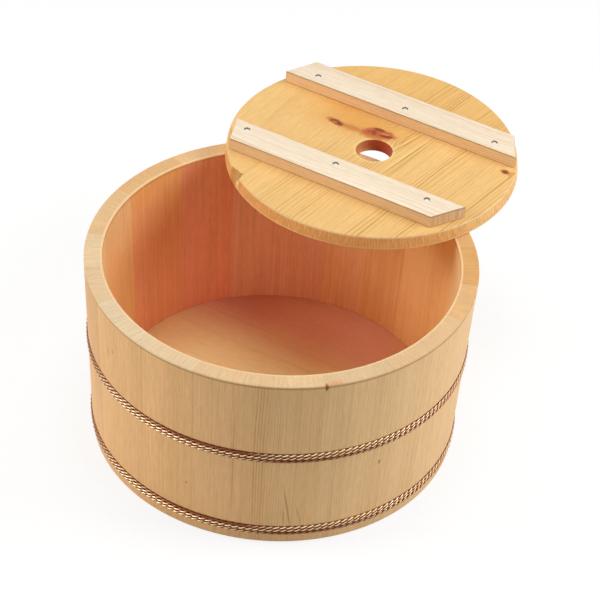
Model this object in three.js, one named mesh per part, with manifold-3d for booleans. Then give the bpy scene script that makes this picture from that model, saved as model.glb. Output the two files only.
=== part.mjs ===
// Coopered wooden ice tub with its drain board, in millimetres, +Z up.
// Bevelled staves stand in a ring round a raised bottom that is seated in a groove, and two hoops
// of twisted copper wire clamp them. The round drain board lies feet up across the back of the rim.

import * as THREE from 'three';
import { mergeVertices } from 'three/addons/utils/BufferGeometryUtils.js';
import Module from 'manifold-3d';

const wasm = await Module();
wasm.setup();

// Tub wall
const RIM_RADIUS = 150;
const BASE_RADIUS = 143;
const TUB_HEIGHT = 162;
const WALL = 14;
const RIM_CHAMFER = 1.2;
const FOOT_CHAMFER = 2;

// Staves: widths in the order that they stand, shared out so that they close the ring
const STAVE_WIDTHS = [44, 41, 38, 54, 38, 60, 46, 59, 42, 42, 60, 63, 50, 44, 44, 42, 42, 39, 47, 47];
const FIRST_JOINT_DEG = 20.6;
const STAVE_JOINT = 0.2;
const STAVE_STEP_DEG = 4.5;

// Bottom: planks in a groove cut into the staves
const FLOOR_HEIGHT = 16.5;
const BOTTOM_THICKNESS = 11;
const GROOVE_DEPTH = 5;
const BOTTOM_BEVEL = 1.5;
const BOTTOM_TAPER = 1;
const BOTTOM_SEAMS = [-45, 45];
const BOTTOM_PEG_OFFSET = 58;

// Hoops: rings of two-wire twist stacked side by side, pressed into a seat round the staves
const WIRE_DIAMETER = 1.4;
const HOOP_SEAT_DEPTH = 1.9;
const RINGS_PER_HOOP = 3;
const UPPER_HOOP_TOP = 94.3;
const LOWER_HOOP_TOP = 17.4;
const RING_SEGMENTS = 60;
const RING_SIDES = 6;

// Drain board: its edge is planed to the flare of the tub, narrower on the side of the feet
const BOARD_RADIUS = 115;
const BOARD_EDGE_FLARE = 2;
const BOARD_THICKNESS = 11;
const BOARD_CHAMFER = 0.8;
const BOARD_SEAMS = [-66, 30];
const BOARD_PEG_OFFSET = 26;
const HOLE_DIAMETER = 29;
const HOLE_X = 3;
const HOLE_Y = -2.4;
const BOARD_SIDE_SHIFT = -4.5;
const BOARD_OVERHANG_INSET = 3;

// Battens: feet of the drain board, with ends cut on the slant inside its edge
const BATTEN_WIDTH = 26;
const BATTEN_HEIGHT = 10.5;
const BATTEN_SPACING = 105.6;
const BATTEN_CHAMFER = 0.8;

// How far the inner and the outer corner of each batten end stand in from the edge of the board
const FAR_LEFT_INSETS = [3.6, 3.6];
const FAR_RIGHT_INSETS = [0.8, 1.6];
const NEAR_LEFT_INSETS = [5, 0.8];
const NEAR_RIGHT_INSETS = [4.2, 5.6];

// Nails through the battens, one into each plank
const NAIL_PITCH = 81;
const NAIL_HEAD_DIAMETER = 4.6;
const NAIL_HEAD_HEIGHT = 0.9;
const NAIL_SHANK_DIAMETER = 2.2;
const NAIL_RECESS = 0.5;
const NAIL_POINT_COVER = 3;
const NAIL_POINT_LENGTH = 3;
const FAR_NAIL_SHIFT = 2.5;
const NEAR_NAIL_SHIFT = -6.8;
const NAIL_INWARD_SHIFT = 4.5;
const NAIL_SIDES = 8;

// Bamboo pegs that line up the planks
const PEG_DIAMETER = 4;
const PEG_LENGTH = 24;
const PEG_SIDES = 8;

// Clearances
const SEAT_GAP = 0.3;
const SEAM_GAP = 0.2;
const DISC_SEGMENTS = 72;

// Finishes
const FINISH = {
  stave: { color: 0xcba873, roughness: 0.62, metalness: 0 },
  bottom: { color: 0xc08a55, roughness: 0.65, metalness: 0 },
  board: { color: 0xe9b96a, roughness: 0.55, metalness: 0 },
  batten: { color: 0xecd3ad, roughness: 0.6, metalness: 0 },
  bamboo: { color: 0xd8c48a, roughness: 0.6, metalness: 0 },
  copper: { color: 0xa8583c, roughness: 0.3, metalness: 1 },
  steel: { color: 0xb9b7b0, roughness: 0.35, metalness: 1 },
};

const outerRadius = (z) => BASE_RADIUS + ((RIM_RADIUS - BASE_RADIUS) * z) / TUB_HEIGHT;
const innerRadius = (z) => outerRadius(z) - WALL;
const BOTTOM_UNDERSIDE = FLOOR_HEIGHT - BOTTOM_THICKNESS;
const BOTTOM_RADIUS = innerRadius(BOTTOM_UNDERSIDE) + GROOVE_DEPTH - SEAT_GAP;
const ROPE_RADIUS = WIRE_DIAMETER;
const RING_PITCH = 2 * ROPE_RADIUS + SEAM_GAP;
const HOOP_HEIGHT = (RINGS_PER_HOOP - 1) * RING_PITCH + 2 * ROPE_RADIUS;

function part(name, geometry, finish) {
  const mesh = new THREE.Mesh(geometry, new THREE.MeshStandardMaterial(FINISH[finish]));
  mesh.name = name;
  return mesh;
}

// Conversion between geometries and solids that can be cut and joined

function welded(geometry) {
  const bare = geometry.clone();
  bare.deleteAttribute('normal');
  bare.deleteAttribute('uv');
  return mergeVertices(bare, 1e-4);
}

function solid(geometry) {
  const bare = welded(geometry);
  const vertProperties = new Float32Array(bare.attributes.position.array);
  const triVerts = new Uint32Array(bare.index.array);
  return new wasm.Manifold(new wasm.Mesh({ numProp: 3, vertProperties, triVerts }));
}

function geometryOf(manifold) {
  const mesh = manifold.getMesh();
  const geometry = new THREE.BufferGeometry();
  geometry.setAttribute('position', new THREE.BufferAttribute(mesh.vertProperties, 3));
  geometry.setIndex(new THREE.BufferAttribute(mesh.triVerts, 1));
  geometry.computeVertexNormals();
  return geometry;
}

// Turned shapes: profiles are lists of [radius, height] points

const points2 = (profile) => profile.map(([radius, height]) => new THREE.Vector2(radius, height));

function turned(profile, segments) {
  return new THREE.LatheGeometry(points2(profile), segments).rotateX(Math.PI / 2);
}

// One sector of a turned ring: copies of the profile about the axis, joined by a skin and closed by two flat faces
function turnedSector(profile, start, length, steps) {
  const count = profile.length;
  const positions = [];
  for (let ring = 0; ring <= steps; ring += 1) {
    const angle = start + (length * ring) / steps;
    profile.forEach(([radius, height]) => {
      positions.push(radius * Math.cos(angle), radius * Math.sin(angle), height);
    });
  }
  const index = [];
  for (let here = 0; here < steps * count; here += 1) {
    const next = (here + 1) % count === 0 ? here + 1 - count : here + 1;
    index.push(here, here + count, next + count, here, next + count, next);
  }
  const last = steps * count;
  THREE.ShapeUtils.triangulateShape(points2(profile), []).forEach(([a, b, c]) => {
    index.push(a, b, c, last + a, last + c, last + b);
  });
  const geometry = new THREE.BufferGeometry();
  geometry.setAttribute('position', new THREE.Float32BufferAttribute(positions, 3));
  geometry.setIndex(index);
  return geometry;
}

// Staves

// Shallow seat in the outer face for a hoop whose upper edge is at top, from below to above
function hoopSeat(top) {
  const lower = top - HOOP_HEIGHT - SEAT_GAP;
  const upper = top + SEAT_GAP;
  return [
    [outerRadius(lower), lower],
    [outerRadius(lower) - HOOP_SEAT_DEPTH, lower],
    [outerRadius(upper) - HOOP_SEAT_DEPTH, upper],
    [outerRadius(upper), upper],
  ];
}

// Section of the wall: foot, outer face, rim, inner face and the tapered groove for the bottom
function staveProfile() {
  const grooveFloor = BOTTOM_UNDERSIDE - SEAT_GAP;
  const grooveRoof = FLOOR_HEIGHT + SEAT_GAP;
  const rimShoulder = TUB_HEIGHT - RIM_CHAMFER;
  return [
    [innerRadius(0) + FOOT_CHAMFER, 0],
    [outerRadius(0) - FOOT_CHAMFER, 0],
    [outerRadius(FOOT_CHAMFER), FOOT_CHAMFER],
    ...hoopSeat(LOWER_HOOP_TOP),
    ...hoopSeat(UPPER_HOOP_TOP),
    [outerRadius(rimShoulder), rimShoulder],
    [RIM_RADIUS - RIM_CHAMFER, TUB_HEIGHT],
    [innerRadius(TUB_HEIGHT) + RIM_CHAMFER, TUB_HEIGHT],
    [innerRadius(rimShoulder), rimShoulder],
    [innerRadius(grooveRoof), grooveRoof],
    [innerRadius(BOTTOM_UNDERSIDE) + GROOVE_DEPTH, grooveRoof - BOTTOM_TAPER],
    [innerRadius(BOTTOM_UNDERSIDE) + GROOVE_DEPTH, grooveFloor],
    [innerRadius(grooveFloor), grooveFloor],
    [innerRadius(FOOT_CHAMFER), FOOT_CHAMFER],
  ];
}

function staves() {
  const group = new THREE.Group();
  const ring = STAVE_WIDTHS.reduce((sum, width) => sum + width, 0);
  const joint = STAVE_JOINT / RIM_RADIUS;
  const step = THREE.MathUtils.degToRad(STAVE_STEP_DEG);
  let edge = THREE.MathUtils.degToRad(FIRST_JOINT_DEG);
  STAVE_WIDTHS.forEach((width, index) => {
    const turn = (2 * Math.PI * width) / ring;
    edge -= turn;
    const steps = Math.ceil(turn / step);
    const geometry = turnedSector(staveProfile(), edge + joint / 2, turn - joint, steps);
    group.add(part(`stave_${String(index + 1).padStart(2, '0')}`, geometry, 'stave'));
  });
  return group;
}

// Planks: a turned disc sawn along its seams, with peg holes across each seam

// Spans between seams, each drawn in by half the seam gap
function spans(seams, reach) {
  const edges = [-reach, ...seams, reach];
  return seams.concat(reach).map((_, i) => [edges[i] + SEAM_GAP / 2, edges[i + 1] - SEAM_GAP / 2]);
}

function sawn(disc, from, to, along, reach) {
  const size = new THREE.Vector3(2 * reach, 2 * reach, 2 * reach);
  const centre = new THREE.Vector3();
  size[along] = to - from;
  centre[along] = (from + to) / 2;
  const blade = new THREE.BoxGeometry(size.x, size.y, size.z).translate(centre.x, centre.y, centre.z);
  return disc.intersect(solid(blade));
}

function pegGeometry(along, x, y, z, clearance) {
  const peg = new THREE.CylinderGeometry(
    PEG_DIAMETER / 2 + clearance,
    PEG_DIAMETER / 2 + clearance,
    PEG_LENGTH + 2 * clearance,
    PEG_SIDES,
  );
  if (along === 'x') peg.rotateZ(Math.PI / 2);
  return peg.translate(x, y, z);
}

// Bottom of the tub: level up to the wall, then planed down to a wedge that sits in the groove

function bottomPegPlaces() {
  const z = FLOOR_HEIGHT - BOTTOM_THICKNESS / 2;
  return BOTTOM_SEAMS.flatMap((seam) => [-1, 1].map((side) => [side * BOTTOM_PEG_OFFSET, seam, z]));
}

function bottom() {
  const group = new THREE.Group();
  const disc = solid(turned([
    [0, BOTTOM_UNDERSIDE],
    [BOTTOM_RADIUS - BOTTOM_BEVEL, BOTTOM_UNDERSIDE],
    [BOTTOM_RADIUS, BOTTOM_UNDERSIDE + BOTTOM_BEVEL],
    [BOTTOM_RADIUS, FLOOR_HEIGHT - BOTTOM_TAPER],
    [innerRadius(FLOOR_HEIGHT) - 2 * SEAT_GAP, FLOOR_HEIGHT],
    [0, FLOOR_HEIGHT],
  ], DISC_SEGMENTS));
  const places = bottomPegPlaces();
  const holes = places.map(([x, y, z]) => solid(pegGeometry('y', x, y, z, SEAT_GAP)));
  const drilled = holes.reduce((rest, hole) => rest.subtract(hole), disc);
  spans(BOTTOM_SEAMS, 2 * BOTTOM_RADIUS).forEach(([from, to], index) => {
    const plank = sawn(drilled, from, to, 'y', 4 * BOTTOM_RADIUS);
    group.add(part(`bottom_plank_${index + 1}`, geometryOf(plank), 'bottom'));
  });
  places.forEach(([x, y, z], index) => {
    group.add(part(`bottom_peg_${index + 1}`, pegGeometry('y', x, y, z, 0), 'bamboo'));
  });
  return group;
}

// Hoops

// A ring lies against the floor of its seat, allowing for the flats between its segments
function ringGeometry(z) {
  const slope = Math.hypot(1, (RIM_RADIUS - BASE_RADIUS) / TUB_HEIGHT);
  const flats = outerRadius(z) * (1 - Math.cos(Math.PI / RING_SEGMENTS));
  const seat = outerRadius(z) - HOOP_SEAT_DEPTH;
  const radius = seat + (ROPE_RADIUS + SEAT_GAP / 2) * slope + flats;
  const section = new THREE.EllipseCurve(radius, z, ROPE_RADIUS, ROPE_RADIUS).getPoints(RING_SIDES);
  return welded(new THREE.LatheGeometry(section, RING_SEGMENTS)).rotateX(Math.PI / 2);
}

function hoop(name, top) {
  const group = new THREE.Group();
  for (let row = 0; row < RINGS_PER_HOOP; row += 1) {
    const z = top - ROPE_RADIUS - row * RING_PITCH;
    group.add(part(`${name}_ring_${row + 1}`, ringGeometry(z), 'copper'));
  }
  return group;
}

// Drain board, built about its own centre with its underside at zero

const NAIL_LENGTH = BATTEN_HEIGHT - NAIL_RECESS + BOARD_THICKNESS - NAIL_POINT_COVER;
const NAIL_TOP = BOARD_THICKNESS + SEAM_GAP + BATTEN_HEIGHT - NAIL_RECESS;

const BATTENS = [
  { name: 'far_batten', side: 1, nailShift: FAR_NAIL_SHIFT, left: FAR_LEFT_INSETS, right: FAR_RIGHT_INSETS },
  { name: 'near_batten', side: -1, nailShift: NEAR_NAIL_SHIFT, left: NEAR_LEFT_INSETS, right: NEAR_RIGHT_INSETS },
];

function nailPlaces(batten) {
  const y = batten.side * (BATTEN_SPACING / 2 - NAIL_INWARD_SHIFT);
  return [-1, 0, 1].map((step) => [batten.nailShift + step * NAIL_PITCH, y]);
}

// Round-headed nail, point down, with its head at the top of its length
function nailGeometry(x, y) {
  const head = NAIL_HEAD_DIAMETER / 2;
  const shank = NAIL_SHANK_DIAMETER / 2;
  const nail = turned([
    [0, -NAIL_LENGTH],
    [shank, -NAIL_LENGTH + NAIL_POINT_LENGTH],
    [shank, -NAIL_HEAD_HEIGHT],
    [head, -NAIL_HEAD_HEIGHT],
    [head, -NAIL_HEAD_HEIGHT / 2],
    [head / 2, 0],
    [0, 0],
  ], NAIL_SIDES);
  return nail.translate(x, y, NAIL_TOP);
}

// Room for a nail: a bore for the shank and a wider recess for the head, open at the top
function nailRoom(x, y) {
  const head = NAIL_HEAD_DIAMETER / 2 + SEAT_GAP;
  const shank = NAIL_SHANK_DIAMETER / 2 + SEAT_GAP;
  const mouth = NAIL_RECESS + BATTEN_CHAMFER;
  const room = turned([
    [0, -NAIL_LENGTH - SEAT_GAP],
    [shank, -NAIL_LENGTH - SEAT_GAP],
    [shank, -NAIL_HEAD_HEIGHT - SEAT_GAP],
    [head, -NAIL_HEAD_HEIGHT - SEAT_GAP],
    [head, mouth],
    [0, mouth],
  ], NAIL_SIDES);
  return solid(room.translate(x, y, NAIL_TOP));
}

// Batten outline: long sides parallel, ends on a slant between corners set in from the edge of the board
function battenGeometry({ side, left, right }) {
  const inner = BATTEN_SPACING / 2 - BATTEN_WIDTH / 2;
  const outer = inner + BATTEN_WIDTH;
  const end = (y, inset) => Math.sqrt((BOARD_RADIUS - inset) ** 2 - y * y);
  const outline = new THREE.Shape();
  outline.moveTo(-end(inner, left[0]), side * inner);
  outline.lineTo(end(inner, right[0]), side * inner);
  outline.lineTo(end(outer, right[1]), side * outer);
  outline.lineTo(-end(outer, left[1]), side * outer);
  outline.closePath();
  const batten = new THREE.ExtrudeGeometry(outline, {
    depth: BATTEN_HEIGHT - 2 * BATTEN_CHAMFER,
    bevelThickness: BATTEN_CHAMFER,
    bevelSize: BATTEN_CHAMFER,
    bevelOffset: -BATTEN_CHAMFER,
    bevelSegments: 1,
  });
  return batten.translate(0, 0, BOARD_THICKNESS + SEAM_GAP + BATTEN_CHAMFER);
}

function boardDisc() {
  const wide = BOARD_RADIUS + BOARD_EDGE_FLARE;
  return solid(turned([
    [0, 0],
    [wide - BOARD_CHAMFER, 0],
    [wide, BOARD_CHAMFER],
    [BOARD_RADIUS, BOARD_THICKNESS - BOARD_CHAMFER],
    [BOARD_RADIUS - BOARD_CHAMFER, BOARD_THICKNESS],
    [0, BOARD_THICKNESS],
  ], DISC_SEGMENTS));
}

function fingerHole() {
  const radius = HOLE_DIAMETER / 2;
  const bore = turned([
    [0, -BOARD_THICKNESS],
    [radius, -BOARD_THICKNESS],
    [radius, 2 * BOARD_THICKNESS],
    [0, 2 * BOARD_THICKNESS],
  ], DISC_SEGMENTS / 3);
  return solid(bore.translate(HOLE_X, HOLE_Y, 0));
}

function boardPegPlaces() {
  const z = BOARD_THICKNESS / 2;
  return BOARD_SEAMS.flatMap((seam) => [-1, 1].map((side) => [seam, side * BOARD_PEG_OFFSET, z]));
}

function drainBoard() {
  const group = new THREE.Group();
  const nails = BATTENS.flatMap((batten) => nailPlaces(batten));
  const rooms = nails.map(([x, y]) => nailRoom(x, y));
  const pegs = boardPegPlaces();
  const pegHoles = pegs.map(([x, y, z]) => solid(pegGeometry('x', x, y, z, SEAT_GAP)));
  const cuts = [fingerHole(), ...rooms, ...pegHoles];
  const drilled = cuts.reduce((rest, cut) => rest.subtract(cut), boardDisc());
  spans(BOARD_SEAMS, 2 * BOARD_RADIUS).forEach(([from, to], index) => {
    const plank = sawn(drilled, from, to, 'x', 4 * BOARD_RADIUS);
    group.add(part(`board_plank_${index + 1}`, geometryOf(plank), 'board'));
  });
  pegs.forEach(([x, y, z], index) => {
    group.add(part(`board_peg_${index + 1}`, pegGeometry('x', x, y, z, 0), 'bamboo'));
  });
  BATTENS.forEach((batten) => {
    const bar = rooms.reduce((rest, room) => rest.subtract(room), solid(battenGeometry(batten)));
    group.add(part(batten.name, geometryOf(bar), 'batten'));
    nailPlaces(batten).forEach(([x, y], index) => {
      const nail = welded(nailGeometry(x, y));
      group.add(part(`${batten.name}_nail_${index + 1}`, nail, 'steel'));
    });
  });
  return group;
}

// Assembly: the board balances on the back of the rim, its centre just inside the outer edge

const board = drainBoard();
board.position.set(BOARD_SIDE_SHIFT, RIM_RADIUS - BOARD_OVERHANG_INSET, TUB_HEIGHT + SEAT_GAP);

const tub = new THREE.Group();
tub.add(staves(), bottom(), hoop('upper_hoop', UPPER_HOOP_TOP), hoop('lower_hoop', LOWER_HOOP_TOP), board);

// The origin lies under the middle of the whole object, on the surface that it stands on
const bounds = new THREE.Box3().setFromObject(tub, true);
const middle = bounds.getCenter(new THREE.Vector3());
tub.position.set(-middle.x, -middle.y, -bounds.min.z);

export default tub;
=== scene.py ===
# Looks, light and camera for a coopered wooden ice tub with its drain board, in metres, +Z up.
# Staves, planks, battens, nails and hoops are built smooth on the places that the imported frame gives.
# Each wooden piece keeps its place in its log, so that its grain runs right through it.

import math
from dataclasses import dataclass

import bmesh
import bpy
import numpy as np
from mathutils import Matrix, Vector

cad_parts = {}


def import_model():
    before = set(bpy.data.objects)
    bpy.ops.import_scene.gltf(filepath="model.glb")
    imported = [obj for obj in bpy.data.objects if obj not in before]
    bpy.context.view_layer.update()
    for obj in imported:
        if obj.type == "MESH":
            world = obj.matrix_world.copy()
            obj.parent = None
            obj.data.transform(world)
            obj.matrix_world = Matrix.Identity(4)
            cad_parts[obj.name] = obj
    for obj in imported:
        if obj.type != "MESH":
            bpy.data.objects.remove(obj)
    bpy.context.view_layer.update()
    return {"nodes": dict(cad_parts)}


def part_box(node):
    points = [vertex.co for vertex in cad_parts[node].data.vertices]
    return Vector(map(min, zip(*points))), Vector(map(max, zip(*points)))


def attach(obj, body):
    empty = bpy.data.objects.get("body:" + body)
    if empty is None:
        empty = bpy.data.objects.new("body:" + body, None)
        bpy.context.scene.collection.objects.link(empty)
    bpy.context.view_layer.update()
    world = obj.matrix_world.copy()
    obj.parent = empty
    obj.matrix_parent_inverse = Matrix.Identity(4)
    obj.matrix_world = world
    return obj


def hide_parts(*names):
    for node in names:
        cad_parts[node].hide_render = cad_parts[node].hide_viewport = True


MM = 0.001
TAU = 2 * math.pi


def mm(*lengths):
    return tuple(length * MM for length in lengths)


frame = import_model()

# Camera, fitted to the photograph, with its place from the tub's foot
CAMERA_PLACE = Vector((0.70964, -1.30156, 1.34195))
CAMERA_PITCH = math.radians(39.493)
CAMERA_YAW = math.radians(-27.991)
CAMERA_ROLL = math.radians(-3.87)
SENSOR_WIDTH_MM = 36.0
LENS_MM = 150.0

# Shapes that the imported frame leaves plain
RIM_EASE = 1.0 * MM
FOOT_EASE = 1.6 * MM
SEAT_EASE = 0.5 * MM
JOINT_CLOSE = 0.08 * MM
JOINT_EASE = 0.08 * MM
STAVE_STEP = math.radians(1.2)
BOARD_EASE = 0.8 * MM
SEAM_CLOSE = 0.08 * MM
SEAM_EASE = 0.03 * MM
BATTEN_EASE = 0.7 * MM
ARC_STEPS = 110
HOLE_EASE = 0.6 * MM
HOLE_SIDES = 72
NAIL_SIDES = 24
WIRE_SIDES = 8
WIRE_STEPS = 10
TWIST_PITCH = 10.5 * MM
CREASE = math.radians(35)
SEED = 20

# Measures of the frame that are closer than this are the same
SAME = 0.1 * MM


def positions(piece):
    return np.array([vertex.co for vertex in piece.data.vertices], float)


def node_points(*names):
    return np.concatenate([positions(frame["nodes"][name]) for name in names])


def names_like(start):
    return sorted(name for name in frame["nodes"] if name.startswith(start))


def middle_of(low, high):
    return (low.x + high.x) / 2, (low.y + high.y) / 2


# Measures taken from the frame

STAVES = names_like("stave_")
BOTTOM_PLANKS = names_like("bottom_plank_")
BOARD_PLANKS = names_like("board_plank_")
BATTENS = ("far_batten", "near_batten")
UPPER_RINGS = names_like("upper_hoop_ring_")
LOWER_RINGS = names_like("lower_hoop_ring_")
PEGS = names_like("bottom_peg_") + names_like("board_peg_")
NAILS = [name for batten in BATTENS for name in names_like(batten + "_nail_")]

bottom_low, bottom_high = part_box("bottom_plank_2")
TUB_MIDDLE = TUB_X, TUB_Y = middle_of(bottom_low, bottom_high)
FLOOR_TOP = bottom_high.z
FLOOR_UNDERSIDE = bottom_low.z

board_low = Vector(np.min([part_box(name)[0] for name in BOARD_PLANKS], axis=0))
board_high = Vector(np.max([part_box(name)[1] for name in BOARD_PLANKS], axis=0))
BOARD_MIDDLE = BOARD_X, BOARD_Y = middle_of(board_low, board_high)
BOARD_UNDERSIDE = board_low.z
BOARD_THICKNESS = board_high.z - board_low.z
board_points = node_points(*BOARD_PLANKS)
board_reach = np.hypot(board_points[:, 0] - BOARD_X, board_points[:, 1] - BOARD_Y)
BOARD_WIDE_RADIUS = board_reach.max()
BOARD_RADIUS = board_reach[board_points[:, 2] > board_low.z + BOARD_THICKNESS / 2].max()


def about_tub(points):
    """Distance from the tub's axis, angle about it and height of each point."""
    x = points[:, 0] - TUB_X
    y = points[:, 1] - TUB_Y
    return np.hypot(x, y), np.arctan2(y, x), points[:, 2]


def at_tub(reach, turn, z):
    """Point at a distance from the tub's axis, an angle about it and a height."""
    return TUB_X + reach * np.cos(turn), TUB_Y + reach * np.sin(turn), z


wall_radius, _, wall_height = about_tub(node_points(*STAVES))
TUB_HEIGHT = wall_height.max()
EDGE_BAND = 3 * MM
at_rim = wall_height > TUB_HEIGHT - EDGE_BAND
at_foot = wall_height < EDGE_BAND
RIM_SHOULDER = wall_height[at_rim].min()
FOOT_SHOULDER = wall_height[at_foot].max()
SHOULDER_RADIUS = wall_radius[at_rim].max()
HEEL_RADIUS = wall_radius[at_foot].max()
WALL = SHOULDER_RADIUS - wall_radius[at_rim].min()
FLARE = (SHOULDER_RADIUS - HEEL_RADIUS) / (RIM_SHOULDER - FOOT_SHOULDER)

bottom_radius, _, bottom_height = about_tub(node_points(*BOTTOM_PLANKS))
BOTTOM_RADIUS = bottom_radius.max()
FLOOR_RADIUS = bottom_radius[bottom_height > FLOOR_TOP - SAME].max()
WEDGE_TOP = bottom_height[bottom_radius > BOTTOM_RADIUS - SAME].max()
GROOVE_GAP = 0.12 * MM
SEAT_GAP = 0.2 * MM


def outer_radius(z):
    return HEEL_RADIUS + (z - FOOT_SHOULDER) * FLARE


def inner_radius(z):
    return outer_radius(z) - WALL


# Outlines and meshes


def unit(vectors):
    return vectors / np.linalg.norm(vectors, axis=1, keepdims=True)


def quarter_turn(steps):
    return [math.pi / 2 * step / steps for step in range(steps + 1)]


def rounded(corners, steps=3):
    """Closed outline through corners given as (x, y, radius), each turned on its radius."""
    outline = []
    count = len(corners)
    for index, (x, y, radius) in enumerate(corners):
        corner = Vector((x, y))
        if radius == 0:
            outline.append(corner)
            continue
        before = (Vector(corners[index - 1][:2]) - corner).normalized()
        after = (Vector(corners[(index + 1) % count][:2]) - corner).normalized()
        half = before.angle(after) / 2
        centre = corner + (before + after).normalized() * radius / math.sin(half)
        first = corner + before * radius / math.tan(half) - centre
        last = corner + after * radius / math.tan(half) - centre
        turn = last.angle_signed(first)
        for step in range(steps + 1):
            outline.append(centre + Matrix.Rotation(turn * step / steps, 2) @ first)
    return np.array(outline)


def outline_normals(outline):
    """Outward normals of an outline that runs anticlockwise."""
    along = np.roll(outline, -1, axis=0) - np.roll(outline, 1, axis=0)
    return unit(np.stack([along[:, 1], -along[:, 0]], axis=1))


def ring_faces(rings, count, closed_along=False, base=0):
    """Quads between rings of count points each, numbered from base."""
    faces = []
    for ring in range(rings if closed_along else rings - 1):
        near = base + ring * count
        far = base + (ring + 1) % rings * count
        for step in range(count):
            after = (step + 1) % count
            faces.append((near + step, near + after, far + after, far + step))
    return faces


def place_object(name, data):
    piece = bpy.data.objects.new(name, data)
    bpy.context.scene.collection.objects.link(piece)
    return piece


def new_object(name, vertices, faces):
    mesh = bpy.data.meshes.new(name)
    mesh.from_pydata([tuple(vertex) for vertex in vertices], [], faces)
    return place_object(name, mesh)


def close_caps(piece, caps):
    """Fills each flat cap, given by the loops of vertex numbers around it and its holes."""
    mesh = bmesh.new()
    mesh.from_mesh(piece.data)
    mesh.verts.ensure_lookup_table()
    for cap in caps:
        edges = []
        for loop in cap:
            for first, second in zip(loop, loop[1:] + loop[:1]):
                edges.append(mesh.edges.get((mesh.verts[first], mesh.verts[second])))
        bmesh.ops.triangle_fill(mesh, use_beauty=True, edges=edges)
    bmesh.ops.recalc_face_normals(mesh, faces=mesh.faces)
    mesh.to_mesh(piece.data)
    mesh.free()


def finish_piece(piece, body, replaced, materials, evened=True):
    mesh = piece.data
    for material in materials:
        mesh.materials.append(material)
    mesh.shade_smooth()
    if evened:
        mesh.set_sharp_from_angle(angle=CREASE)
        shading = piece.modifiers.new("even_shading", "WEIGHTED_NORMAL")
        shading.keep_sharp = True
    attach(piece, body)
    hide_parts(replaced)


def set_share(piece, name, value):
    """Stores a number for each point of the piece, or one for all."""
    share = piece.data.attributes.new(name, "FLOAT", "POINT")
    values = np.broadcast_to(np.asarray(value, np.float32), len(piece.data.vertices))
    share.data.foreach_set("value", np.ascontiguousarray(values))


SHARES = ("tone", "heart", "figure", "honey")


def set_grain(piece, grain, tone, heart=0.0, figure=1.0, honey=0.0):
    """Stores each point's place in the log, with the pith along the third axis, and the wood's shares.

    Tone makes it lighter or darker, heart redder and honey yellower, or paler below 0.
    Figure shows its rings.
    """
    place = piece.data.attributes.new("grain", "FLOAT_VECTOR", "POINT")
    place.data.foreach_set("vector", np.ascontiguousarray(grain, np.float32).ravel())
    for name, value in zip(SHARES, (tone, heart, figure, honey)):
        set_share(piece, name, value)


def in_log(across, depth, along, pith_across, pith_depth, start):
    """Moves a piece's own coordinates to where it lay in its log."""
    return np.stack([across - pith_across, depth - pith_depth, along + start], axis=1)


# Materials

COLOUR_SPACE_KNEE = 0.04045


def srgb(code):
    """Linear colour of a six-digit display colour."""
    channels = [int(code[place:place + 2], 16) / 255 for place in (0, 2, 4)]
    linear = [c / 12.92 if c <= COLOUR_SPACE_KNEE else ((c + 0.055) / 1.055) ** 2.4 for c in channels]
    return (*linear, 1.0)


class Shader:
    """Adds nodes to a new material or world, and links or sets their inputs."""

    def __init__(self, name, owners=bpy.data.materials):
        self.owner = owners.new(name)
        self.owner.use_nodes = True
        self.tree = self.owner.node_tree

    def feed(self, socket, value):
        if isinstance(value, bpy.types.NodeSocket):
            self.tree.links.new(value, socket)
        else:
            socket.default_value = value

    def add(self, kind, inputs, **settings):
        node = self.tree.nodes.new(kind)
        for name, value in settings.items():
            setattr(node, name, value)
        for name, value in inputs.items():
            self.feed(node.inputs[name], value)
        return node

    def attribute(self, name, output="Vector"):
        return self.add("ShaderNodeAttribute", {}, attribute_name=name).outputs[output]

    def place(self):
        return self.add("ShaderNodeTexCoord", {}).outputs["Object"]

    def math(self, operation, first, second=0.0):
        return self.add("ShaderNodeMath", {0: first, 1: second}, operation=operation).outputs[0]

    def times(self, first, *others):
        for other in others:
            first = self.math("MULTIPLY", first, other)
        return first

    def plus(self, first, *others):
        for other in others:
            first = self.math("ADD", first, other)
        return first

    def vector(self, operation, first, second=(0.0, 0.0, 0.0), output="Vector"):
        return self.add("ShaderNodeVectorMath", {0: first, 1: second}, operation=operation).outputs[output]

    def noise(self, place, size, detail=2.0, roughness=0.5):
        """Noise from 0 to 1 whose features are about size long on each axis of place."""
        scaled = self.vector("DIVIDE", place, size)
        inputs = {"Vector": scaled, "Scale": 1.0, "Detail": detail, "Roughness": roughness}
        return self.add("ShaderNodeTexNoise", inputs).outputs[0]

    def band(self, value, low, high, to_low=0.0, to_high=1.0):
        """Value carried smoothly from one range to another."""
        inputs = {"Value": value, "From Min": low, "From Max": high, "To Min": to_low, "To Max": to_high}
        return self.add("ShaderNodeMapRange", inputs, interpolation_type="SMOOTHSTEP").outputs["Result"]

    def mix(self, factor, first, second, blend="MIX", clamp=True):
        inputs = {0: factor, 6: first, 7: second}
        settings = {"data_type": "RGBA", "blend_type": blend, "clamp_factor": clamp}
        return self.add("ShaderNodeMix", inputs, **settings).outputs[2]

    def seen_directly(self):
        """Factor that is 1 for what the camera sees, straight or in a gloss."""
        path = self.add("ShaderNodeLightPath", {}).outputs
        gloss = self.math("MAXIMUM", path["Is Camera Ray"], path["Is Glossy Ray"])
        return self.math("MAXIMUM", gloss, path["Is Transmission Ray"])

    def finish(self, colour, worn, roughness, others):
        """Sets the surface, with its roughness by how worn it is, and gives the material."""
        sheen = self.band(worn, *WORN_RANGE, *roughness)
        surface = self.tree.nodes["Principled BSDF"]
        for name, value in {"Base Color": colour, "Roughness": sheen, **others}.items():
            self.feed(surface.inputs[name], value)
        return self.owner

    def bump(self, height, distance):
        return self.add("ShaderNodeBump", {"Height": height, "Distance": distance}).outputs["Normal"]


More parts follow.
